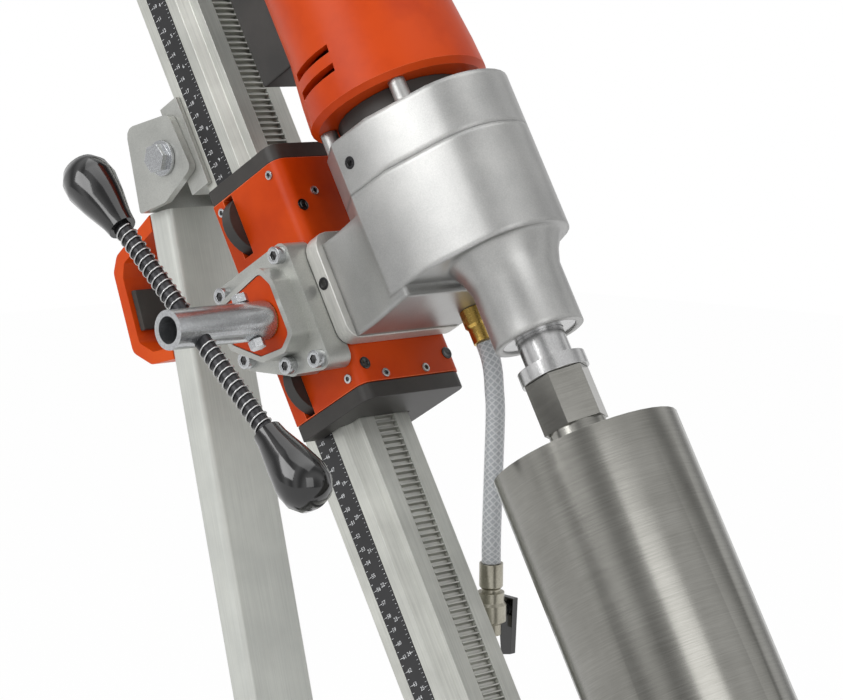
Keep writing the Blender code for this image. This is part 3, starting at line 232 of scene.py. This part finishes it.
finishes = {
    "columnAluminium": grainedMetal(
        "columnAluminium", (linear(186, 187, 181), linear(212, 213, 206)), 0.55, (0.30, 0.42),
        grain=(1, 1, 60), lean=columnLean,
    ),
    "braceAluminium": grainedMetal(
        "braceAluminium", (linear(194, 196, 191), linear(212, 214, 208)), 0.35, (0.42, 0.55),
        grain=(1, 1, 60), lean=braceLean, strength=0.08,
    ),
    "castAluminium": grainedMetal(
        "castAluminium", (linear(172, 173, 169), linear(194, 195, 190)), 0.7, (0.3, 0.42),
        fine=1100, depth=0.0001, strength=0.22,
    ),
    "gearboxCasting": grainedMetal(
        "gearboxCasting", (linear(160, 160, 159), linear(182, 182, 180)), 0.75, (0.3, 0.42),
        fine=1100, depth=0.0001, strength=0.22, corner=0.005,
    ),
    "machinedPlate": grainedMetal(
        "machinedPlate", (linear(186, 186, 182), linear(214, 213, 208)), 0.5, (0.38, 0.5),
        grain=(1, 1, 14), lean=columnLean,
    ),
    "turnedSteel": grainedMetal(
        "turnedSteel", (linear(168, 168, 168), linear(204, 204, 204)), 0.95, (0.16, 0.3), fine=1500,
    ),
    "zincSteel": grainedMetal(
        "zincSteel", (linear(170, 172, 174), linear(206, 208, 210)), 0.9, (0.2, 0.32), fine=700, strength=0.08,
    ),
    "bitSteel": grainedMetal(
        "bitSteel", (linear(130, 129, 124), linear(148, 147, 142)), 1.0, (0.18, 0.24),
        grain=(40, 40, 1), lean=columnLean, fine=1300, depth=0.00004, strength=0.14,
    ),
    "darkSteel": grainedMetal(
        "darkSteel", (linear(34, 34, 36), linear(62, 62, 64)), 0.8, (0.3, 0.5), fine=1200,
    ),
    "rackSteel": grainedMetal(
        "rackSteel", (linear(180, 180, 175), linear(212, 212, 206)), 0.85, (0.26, 0.4),
        grain=(1, 12, 1), lean=columnLean,
    ),
    "platedBrass": grainedMetal(
        "platedBrass", (linear(150, 146, 132), linear(190, 186, 172)), 0.9, (0.24, 0.38),
    ),
    "brass": grainedMetal(
        "brass", (linear(196, 160, 82), linear(222, 190, 110)), 0.95, (0.2, 0.34),
    ),
    "orangePaint": mouldedSkin(
        "orangePaint", (linear(190, 58, 2), linear(206, 69, 5)), (0.36, 0.46), 900, 0.0001, shine=0.22,
    ),
    # lighter orange for the rounded edges of the orange parts: a painted highlight along the edges
    "orangeEdgeHighlight": mouldedSkin(
        "orangeEdgeHighlight", (linear(216, 78, 28), linear(232, 110, 58)), (0.3, 0.5), 900, 0.0001,
    ),
    "handleOrange": mouldedSkin(
        "handleOrange", (linear(208, 70, 6), linear(220, 82, 10)), (0.4, 0.5), 700, 0.0001, shine=0.25,
    ),
    "darkPlastic": mouldedSkin(
        "darkPlastic", (linear(40, 38, 36), linear(56, 53, 50)), (0.42, 0.56), 1400, 0.0002,
    ),
    "blackGloss": mouldedSkin(
        "blackGloss", (linear(10, 10, 11), linear(18, 18, 19)), (0.08, 0.14), 500, 0.00003, coat=0.5,
    ),
    "scaleBlack": mouldedSkin(
        "scaleBlack", (linear(22, 22, 24), linear(32, 32, 34)), (0.3, 0.4), 1500, 0.00005,
    ),
    "scaleWhite": mouldedSkin(
        "scaleWhite", (linear(214, 216, 218), linear(232, 234, 236)), (0.4, 0.5), 1500, 0.00005,
    ),
    "gripRubber": mouldedSkin(
        "gripRubber", (linear(58, 58, 55), linear(76, 76, 72)), (0.55, 0.7), 1300, 0.0003,
    ),
    "tyreRubber": mouldedSkin(
        "tyreRubber", (linear(26, 26, 26), linear(38, 38, 38)), (0.6, 0.75), 900, 0.0004,
    ),
}

braidSetup = {
    "around": 42,
    "along": 10,
    "bands": 0.5,
    "stops": [(0.72, linear(198, 202, 206)), (0.93, linear(238, 240, 242))],  # darker between the strands as painted shade in the crevices, and the strands' own colour on them
    "strength": 0.4,
    "depth": 0.0003,
}


def braidedHose(name, setup):
    material, tree, shader = newMaterial(name)
    shader.inputs["Transmission Weight"].default_value = 0.25
    shader.inputs["Roughness"].default_value = 0.28
    shader.inputs["IOR"].default_value = 1.4
    shader.inputs["Coat Weight"].default_value = 0.3
    coords = addNode(tree, "ShaderNodeUVMap")
    strands = []
    for slope in (1, -1):
        mapping = addNode(tree, "ShaderNodeMapping")
        mapping.inputs["Scale"].default_value = (setup["around"], setup["along"] * slope, 1)
        wave = addNode(tree, "ShaderNodeTexWave", wave_type="BANDS", bands_direction="DIAGONAL")
        wave.inputs["Scale"].default_value = setup["bands"]
        tree.links.new(coords.outputs["UV"], mapping.inputs["Vector"])
        tree.links.new(mapping.outputs["Vector"], wave.inputs["Vector"])
        strands.append(wave.outputs["Fac"])
    crossed = addNode(tree, "ShaderNodeMath", operation="MAXIMUM")
    tree.links.new(strands[0], crossed.inputs[0])
    tree.links.new(strands[1], crossed.inputs[1])
    colour = ramp(tree, crossed.outputs[0], setup["stops"])
    tree.links.new(colour, shader.inputs["Base Color"])
    bump(tree, shader, crossed.outputs[0], setup["strength"], setup["depth"])
    return material


finishes["braidedHose"] = braidedHose("braidedHose", braidSetup)

nodeFinishes = {
    "columnAluminium": ["column_extrusion"],
    "braceAluminium": ["brace_tube"],
    "castAluminium": [
        "base_plate", "column_clevis", "brace_clevis", "column_foot", "clamp_block", "brace_foot",
        "brace_bracket", "feed_housing",
    ],
    "gearboxCasting": ["gearbox_housing", "gearbox_cover"],
    "machinedPlate": ["mount_plate"],
    "turnedSteel": ["spindle", "axle", "feed_pinion", "counter_gear", "armature",
                    "spindle_bearing_lower", "spindle_bearing_upper"],
    "zincSteel": ["crank_tube", "crank_cross_bolt", "clamp_bolt_near", "clamp_bolt_far", "brace_pivot_bolt",
                  "column_pivot_bolt", "level_screw_1", "level_screw_2", "level_screw_3", "level_screw_4"],
    "darkSteel": ["crank_rod", "crank_spring_lower", "crank_spring_upper"],
    "bitSteel": ["core_bit"],
    "braidedHose": ["hose"],
    "rackSteel": ["rack"],
    "brass": ["feed_bush", "hose_port"],
    "platedBrass": ["valve_body"],
    "orangePaint": ["carriage_shell", "feed_panel", "motor_housing"],
    "handleOrange": ["handle_strap"],
    "darkPlastic": ["column_top_cap", "end_cap_lower", "end_cap_upper", "guide_lower", "guide_upper",
                    "motor_flange", "motor_top_cap", "electronics_box"],
    "blackGloss": ["crank_knob_lower", "crank_knob_upper", "valve_lever", "power_switch"],
    "scaleBlack": ["scale_strip"],
    "gripRubber": ["handle_grip", "cable_gland"],
    "tyreRubber": ["wheel_near", "wheel_far"],
}


roundingSetup = {"mergeWithin": 0.00001, "sharpFrom": math.radians(32), "roundFrom": math.radians(38),
                 "usualRadius": 0.3}
edgeRadii = {  # mm, the rounding of a piece's corners
    "gearbox_housing": 0, "gearbox_cover": 1.8, "mount_plate": 1.6, "feed_housing": 0.9, "carriage_shell": 0.5,
    "end_cap_upper": 1.0, "end_cap_lower": 1.0, "motor_housing": 1.0, "electronics_box": 1.4, "brace_tube": 0,
    "column_extrusion": 0.25, "rack": 0.2, "scale_strip": 0, "clamp_block": 0.8, "brace_bracket": 0.8,
    "core_bit": 0.25, "base_plate": 0.8,
}


def smoothingGroup(setup):
    group = bpy.data.node_groups.new("mergeAndSmooth", "GeometryNodeTree")
    group.interface.new_socket("Geometry", in_out="INPUT", socket_type="NodeSocketGeometry")
    group.interface.new_socket("Geometry", in_out="OUTPUT", socket_type="NodeSocketGeometry")
    start = group.nodes.new("NodeGroupInput")
    merge = group.nodes.new("GeometryNodeMergeByDistance")
    merge.inputs["Distance"].default_value = setup["mergeWithin"]
    smooth = group.nodes.new("GeometryNodeSetShadeSmooth")
    edges = group.nodes.new("GeometryNodeSetShadeSmooth")
    edges.domain = "EDGE"
    edges.inputs["Shade Smooth"].default_value = False
    angle = group.nodes.new("GeometryNodeInputMeshEdgeAngle")
    compare = group.nodes.new("FunctionNodeCompare")
    compare.operation = "GREATER_THAN"
    compare.inputs["B"].default_value = setup["sharpFrom"]
    end = group.nodes.new("NodeGroupOutput")
    link = group.links.new
    link(start.outputs[0], merge.inputs["Geometry"])
    link(merge.outputs["Geometry"], smooth.inputs["Geometry"])
    link(smooth.outputs["Geometry"], edges.inputs["Geometry"])
    link(angle.outputs["Unsigned Angle"], compare.inputs["A"])
    link(compare.outputs["Result"], edges.inputs["Selection"])
    link(edges.outputs["Geometry"], end.inputs[0])
    return group


def finishNodes(setup):
    group = smoothingGroup(setup)
    for finish, names in nodeFinishes.items():
        for name in names:
            obj = cadNodes[name]
            obj.data.materials.clear()
            obj.data.materials.append(finishes[finish])
            merged = obj.modifiers.new("mergeAndSmooth", "NODES")
            merged.node_group = group
            radius = edgeRadii.get(name, setup["usualRadius"])
            if radius:
                rounded = obj.modifiers.new("edgeRounding", "BEVEL")
                rounded.width = radius * mm
                rounded.segments = 2
                rounded.limit_method = "ANGLE"
                rounded.angle_limit = setup["roundFrom"]
                rounded.use_clamp_overlap = True
                rounded.harden_normals = True
                # the bevel faces of the orange parts get the lighter orange: a painted highlight on the edges
                if finish == "orangePaint":
                    obj.data.materials.append(finishes["orangeEdgeHighlight"])
                    rounded.material = 1


finishNodes(roundingSetup)
print("stage 2: finishes on the frame's nodes")


hoseSetup = {  # millimetres in the column's frame, from the port to the ferrule
    "route": [(106, 37, 467), (105.1, 37.1, 456.6), (101.8, 37.5, 446), (96, 38.2, 435), (88, 39.5, 421.5),
              (63, 42.5, 387), (37, 45, 350), (26.5, 46, 334)],
    "radius": 6.8,
    "spacing": 4,
    "roundness": 6,
}


def smoothRoute(points, spacing):
    route = [Vector(point) for point in points]
    route = [route[0] * 2 - route[1]] + route + [route[-1] * 2 - route[-2]]
    result = []
    for index in range(1, len(route) - 2):
        before, first, last, after = route[index - 1:index + 3]
        steps = max(1, round((last - first).length / spacing))
        for step in range(steps):
            t = step / steps
            bend = 2 * before - 5 * first + 4 * last - after
            twist = 3 * first - before - 3 * last + after
            result.append(0.5 * (2 * first + (last - before) * t + bend * t * t + twist * t ** 3))
    return result + [route[-2]]


def makeHose(setup):
    route = [columnFrame @ (point * mm) for point in smoothRoute(setup["route"], setup["spacing"])]
    curve = bpy.data.curves.new("waterHose", "CURVE")
    curve.dimensions = "3D"
    curve.bevel_depth = setup["radius"] * mm
    curve.bevel_resolution = setup["roundness"]
    curve.use_fill_caps = True
    spline = curve.splines.new("POLY")
    spline.points.add(len(route) - 1)
    for point, place in zip(spline.points, route):
        point.co = (*place, 1)
    hose = bpy.data.objects.new("waterHose", curve)
    bpy.context.scene.collection.objects.link(hose)
    pick(hose)
    bpy.ops.object.convert(target="MESH")
    hose = bpy.context.object
    finishPiece(hose, "waterHose", finishes["braidedHose"], "carriage", 60)
    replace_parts(hose, "hose")


makeHose(hoseSetup)


springSetup = {  # start and end are measured along the crank's rod from its middle
    "middle": (37, -150, 528),
    "tilt": 19,
    "start": 15.6,
    "end": 92.4,
    "turns": 13,
    "radius": 6.65,
    "wire": 0.62,
    "wireSides": 10,
    "steps": 22,
}


def makeSpring(setup, name, side):
    bpy.ops.mesh.primitive_circle_add(
        vertices=setup["wireSides"], radius=setup["wire"] * mm, fill_type="NOTHING",
        location=(setup["radius"] * mm, 0, 0), rotation=(math.pi / 2, 0, 0),
    )
    wire = bpy.context.object
    bpy.ops.object.transform_apply(location=True, rotation=True, scale=True)
    coil = wire.modifiers.new("coil", "SCREW")
    coil.axis = "Z"
    coil.angle = math.tau
    coil.iterations = setup["turns"]
    coil.steps = setup["steps"]
    coil.render_steps = setup["steps"]
    coil.screw_offset = (setup["end"] - setup["start"]) / setup["turns"] * mm
    applyAll(wire)
    bpy.ops.object.mode_set(mode="EDIT")
    bpy.ops.mesh.select_all(action="DESELECT")
    bpy.ops.mesh.select_mode(type="EDGE")
    bpy.ops.mesh.select_non_manifold(extend=False)  # the coil's two open ends
    bpy.ops.mesh.edge_face_add()
    bpy.ops.mesh.select_all(action="SELECT")
    bpy.ops.mesh.normals_make_consistent(inside=False)
    bpy.ops.object.mode_set(mode="OBJECT")
    turn = math.pi - math.radians(setup["tilt"]) + (math.pi if side < 0 else 0)
    along = Matrix.Translation(Vector(setup["middle"]) * mm) @ Matrix.Rotation(turn, 4, "Y")
    wire.data.transform(Matrix.Translation((0, 0, setup["start"] * mm)))
    wire.data.transform(columnFrame @ along)
    finishPiece(wire, name, finishes["turnedSteel"], "crank", 60)
    return wire


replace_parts(makeSpring(springSetup, "lowerCoilSpring", 1), "crank_spring_lower")
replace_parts(makeSpring(springSetup, "upperCoilSpring", -1), "crank_spring_upper")
print("stage 4: coil springs")


scaleSetup = {
    "rear": -15.9,
    "front": 1.1,
    "face": -30.0,
    "zero": 900.0,
    "low": 62.0,
    "proud": 0.06,
    "numberSize": 4.0,
    "rearTicks": [(10, 3.4, 0.45), (5, 1.9, 0.3)],  # step, length and thickness
    "frontTicks": [(inch, 3.8, 0.45), (inch / 2, 2.6, 0.35), (inch / 8, 1.6, 0.25)],
    "rearNumbers": (10, 5.6),  # step, and distance from the ticks' edge
    "frontNumbers": (inch, -6.2),
}


def makeTicks(setup, edge, inward, tick):
    step, length, thick = tick
    middle = (edge + inward * length / 2, setup["face"] - setup["proud"] / 2, setup["zero"])
    bpy.ops.mesh.primitive_cube_add(
        size=1, location=Vector(middle) * mm, scale=Vector((length, setup["proud"], thick)) * mm,
    )
    ticks = bpy.context.object
    bpy.ops.object.transform_apply(location=True, rotation=True, scale=True)
    row = ticks.modifiers.new("row", "ARRAY")
    row.use_relative_offset = False
    row.use_constant_offset = True
    row.constant_offset_displace = (0, 0, -step * mm)
    row.count = int((setup["zero"] - setup["low"]) / step) + 1
    applyAll(ticks)
    return ticks


def makeNumber(setup, value, across, height):
    place = Vector((across, setup["face"] - setup["proud"] / 2, height)) * mm
    bpy.ops.object.text_add(location=place, rotation=(math.pi / 2, 0, 0))
    number = bpy.context.object
    number.data.body = str(value)
    number.data.size = setup["numberSize"] * mm
    number.data.align_x = "CENTER"
    number.data.align_y = "CENTER"
    number.data.extrude = setup["proud"] / 2 * mm
    number.data.resolution_u = 2
    bpy.ops.object.convert(target="MESH")
    number = bpy.context.object
    bpy.ops.object.transform_apply(location=True, rotation=True, scale=True)
    return number


def makeScale(setup):
    pieces = [makeTicks(setup, setup["rear"], 1, tick) for tick in setup["rearTicks"]]
    pieces += [makeTicks(setup, setup["front"], -1, tick) for tick in setup["frontTicks"]]
    for edge, (step, away) in ((setup["rear"], setup["rearNumbers"]), (setup["front"], setup["frontNumbers"])):
        for value in range(1, int((setup["zero"] - setup["low"]) / step) + 1):
            pieces.append(makeNumber(setup, value, edge + away, setup["zero"] - step * value))
    scale = joinAs("scaleMarks", pieces)
    scale.data.transform(columnFrame)
    finishPiece(scale, "scaleMarks", finishes["scaleWhite"], "column")
    print("stage 5: scale marks")


makeScale(scaleSetup)


screwSizes = {  # radius, height, socket radius, socket depth
    "housing": (6.1, 7.0, 3.3, 1.2),
    "small": (3.2, 1.4, 1.8, 0.8),
    "plug": (4.4, 0.7, 2.9, 0.3),
}
# the last value is the depth under the head's top from which the socket's faces are painted black as painted
# shade
screwShape = {"sides": 28, "rim": 0.4, "rimFrom": math.radians(50), "socketShadeBelow": 0.05}
near, front = (0, -1, 0), (1, 0, 0)
screwRows = {  # size, finish, slot, then each place with the way it faces
    "housingScrews": (
        "housing", "zincSteel", "steel",
        [((x, -70.0, z), near) for x, z in ((-6, 517), (30, 496), (58, 488), (58, 566), (-6, 566))],
    ),
    "carriagePlugs": (
        "plug", "blackGloss", "black_gloss",
        [((65.9, y, z), front) for y in (-40, 40) for z in (599, 478)],
    ),
    "gearboxPlugs": (
        "plug", "darkSteel", "steel",
        [((138, -57.6, 594), near), ((72.5, -55.8, 536), near)],
    ),
    "carriageScrews": (
        "small", "zincSteel", "steel",
        [((65.9, y, z), front) for y, z in ((-25, 609), (25, 609), (-25, 469), (14, 469))]
        + [((x, -48.9, z), near) for x, z in ((55, 628), (55, 472), (-2, 628))],
    ),
}


def makeScrew(size):
    radius, height, socket, depth = (value * mm for value in size)
    bpy.ops.mesh.primitive_cylinder_add(
        vertices=screwShape["sides"], radius=radius, depth=height, location=(0, 0, height / 2),
    )
    screw = bpy.context.object
    bpy.ops.object.transform_apply(location=True, rotation=True, scale=True)
    bpy.ops.mesh.primitive_cylinder_add(vertices=6, radius=socket, depth=2 * depth, location=(0, 0, height))
    cutter = bpy.context.object
    hollow = screw.modifiers.new("socket", "BOOLEAN")
    hollow.operation = "DIFFERENCE"
    hollow.object = cutter
    rim = screw.modifiers.new("rim", "BEVEL")
    rim.width = min(screwShape["rim"] * mm, height / 4)
    rim.segments = 2
    rim.limit_method = "ANGLE"
    rim.angle_limit = screwShape["rimFrom"]
    applyAll(screw)
    bpy.data.objects.remove(cutter)
    screw.data.materials.clear()
    screw.data.materials.append(finishes["zincSteel"])
    screw.data.materials.append(finishes["blackGloss"])
    for face in screw.data.polygons:  # the socket's walls and floor get the black material: painted shade in the recess
        middle = face.center
        if middle.xy.length < 1.02 * socket and middle.z < height - screwShape["socketShadeBelow"] * mm:
            face.material_index = 1
    return screw


def placeScrews(name, kind, finish, slotName, spots):
    pattern = makeScrew(screwSizes[kind])
    copies = []
    for place, outward in spots:
        copy = pattern.copy()
        copy.data = pattern.data.copy()
        bpy.context.scene.collection.objects.link(copy)
        turn = Vector(outward).to_track_quat("Z", "Y").to_matrix().to_4x4()
        copy.data.transform(columnFrame @ Matrix.Translation(Vector(place) * mm) @ turn)
        copies.append(copy)
    bpy.data.objects.remove(pattern)
    finishPiece(joinAs(name, copies), name, finishes[finish], "carriage")


for rowName, row in screwRows.items():
    placeScrews(rowName, *row)
print("stage 6: screws")


stageSetup = {
    "floor": 9.0,
    "floorHeight": -0.0005,
    "floorGlow": 0.985,  # how much of the floor is plain white to the camera and in reflections
    "floorGrey": 0.8,
    "panels": 0.55,
    "phase": 1.2,
    "panelLevels": (0.4, 1.0),  # backdrop strength in reflections
    "backdropLevels": (0.42, 1.0),  # backdrop strength as light, and to the camera
}
lamps = {  # place, size and power
    "keyLamp": ((-0.6, -2.4, 1.9), (1.6, 1.6), 34),
    "fillLamp": ((2.4, -1.0, 1.2), (1.4, 1.8), 14),
    "topLamp": ((0.2, 0.1, 2.6), (2.0, 2.0), 16),
}
lampTarget = Vector((0.0, 0.0, 0.45))


def paleSurface(setup):
    material = bpy.data.materials.new("paleFloor")
    material.use_nodes = True
    tree = material.node_tree
    tree.nodes.clear()
    output = addNode(tree, "ShaderNodeOutputMaterial")
    path = addNode(tree, "ShaderNodeLightPath")
    matte = addNode(tree, "ShaderNodeBsdfDiffuse")
    matte.inputs["Color"].default_value = (setup["floorGrey"],) * 3 + (1,)
    glow = addNode(tree, "ShaderNodeEmission")
    glow.inputs["Color"].default_value = (1, 1, 1, 1)
    seen = addNode(tree, "ShaderNodeMath", operation="MAXIMUM")
    both = addNode(tree, "ShaderNodeMath", operation="MAXIMUM")
    tree.links.new(path.outputs["Is Glossy Ray"], seen.inputs[0])
    tree.links.new(path.outputs["Is Transmission Ray"], seen.inputs[1])
    tree.links.new(path.outputs["Is Camera Ray"], both.inputs[0])
    tree.links.new(seen.outputs[0], both.inputs[1])
    share = addNode(tree, "ShaderNodeMath", operation="MULTIPLY")
    tree.links.new(both.outputs[0], share.inputs[0])
    share.inputs[1].default_value = setup["floorGlow"]
    mix = addNode(tree, "ShaderNodeMixShader")
    tree.links.new(share.outputs[0], mix.inputs["Fac"])
    tree.links.new(matte.outputs[0], mix.inputs[1])
    tree.links.new(glow.outputs[0], mix.inputs[2])
    tree.links.new(mix.outputs[0], output.inputs["Surface"])
    return material


def buildStage(setup):
    bpy.ops.mesh.primitive_plane_add(size=setup["floor"], location=(0, 0, setup["floorHeight"]))
    floor = bpy.context.object
    floor.name = "studioFloor"
    floor.data.materials.append(paleSurface(setup))
    world = bpy.data.worlds.new("studioWorld")
    bpy.context.scene.world = world
    world.use_nodes = True
    tree = world.node_tree
    tree.nodes.clear()
    output = addNode(tree, "ShaderNodeOutputWorld")
    path = addNode(tree, "ShaderNodeLightPath")
    background = addNode(tree, "ShaderNodeBackground")
    background.inputs["Color"].default_value = (1, 1, 1, 1)
    seen = addNode(tree, "ShaderNodeMath", operation="MAXIMUM")
    tree.links.new(path.outputs["Is Glossy Ray"], seen.inputs[0])
    tree.links.new(path.outputs["Is Transmission Ray"], seen.inputs[1])
    direction = addNode(tree, "ShaderNodeTexCoord")
    panels = addNode(tree, "ShaderNodeTexWave", wave_type="BANDS", bands_direction="X")
    panels.inputs["Scale"].default_value = setup["panels"]
    panels.inputs["Phase Offset"].default_value = setup["phase"]
    tree.links.new(direction.outputs["Generated"], panels.inputs["Vector"])
    mirrored = spread(tree, panels.outputs["Fac"], *setup["panelLevels"])
    plain = spread(tree, path.outputs["Is Camera Ray"], *setup["backdropLevels"])
    level = addNode(tree, "ShaderNodeMix", data_type="FLOAT")
    tree.links.new(seen.outputs[0], level.inputs[0])
    tree.links.new(plain, level.inputs[2])
    tree.links.new(mirrored, level.inputs[3])
    tree.links.new(level.outputs[0], background.inputs["Strength"])
    tree.links.new(background.outputs[0], output.inputs["Surface"])


def addLamp(name, place, size, power):
    bpy.ops.object.light_add(type="AREA", location=place)
    lamp = bpy.context.object
    lamp.name = name
    lamp.data.shape = "RECTANGLE"
    lamp.data.size, lamp.data.size_y = size
    lamp.data.energy = power
    lamp.rotation_mode = "QUATERNION"
    lamp.rotation_quaternion = (lampTarget - Vector(place)).to_track_quat("-Z", "Y")


buildStage(stageSetup)
for lampName, lampValues in lamps.items():
    addLamp(lampName, *lampValues)
bpy.context.scene.view_settings.view_transform = "Standard"
print("stage 7: stage and lamps")
